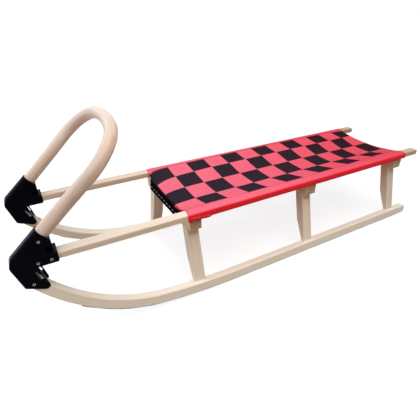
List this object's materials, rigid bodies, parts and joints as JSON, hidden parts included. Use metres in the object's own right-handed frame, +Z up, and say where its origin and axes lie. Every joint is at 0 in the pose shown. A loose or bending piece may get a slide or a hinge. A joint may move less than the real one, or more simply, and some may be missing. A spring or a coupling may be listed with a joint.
{
  "type": "wooden sled",
  "caption": "Wooden touring sled with bent runners on splayed trestle legs, a slung checked fabric seat and a round bow handle in moulded corner brackets, pulled by hand.",
  "frame": {"origin": "ground under the middle of the length and width", "axes": "+X forward to the bow, +Y to the sled's left, +Z up"},
  "size_m": [1.2199, 0.3502, 0.4491],
  "materials": {
    "beech": "clear lacquer, satin",
    "bow_wood": "clear lacquer, satin",
    "bracket_plastic": "moulded, fine grain",
    "strip_steel": "drawn flat bar",
    "seat_cloth": "woven webbing, checked"
  },
  "bodies": {
    "root": {"runner_left": "beech", "runner_right": "beech", "seat_rail_left": "beech", "seat_rail_right": "beech", "crossbar_front": "beech", "crossbar_middle": "beech", "crossbar_rear": "beech", "leg_front_left": "beech", "leg_front_right": "beech", "leg_middle_left": "beech", "leg_middle_right": "beech", "leg_rear_left": "beech", "leg_rear_right": "beech", "bow": "bow_wood", "bracket_left": "bracket_plastic", "bracket_right": "bracket_plastic", "runner_strip_left": "strip_steel", "runner_strip_right": "strip_steel", "seat_fabric": "seat_cloth"}
  },
  "joints": []
}
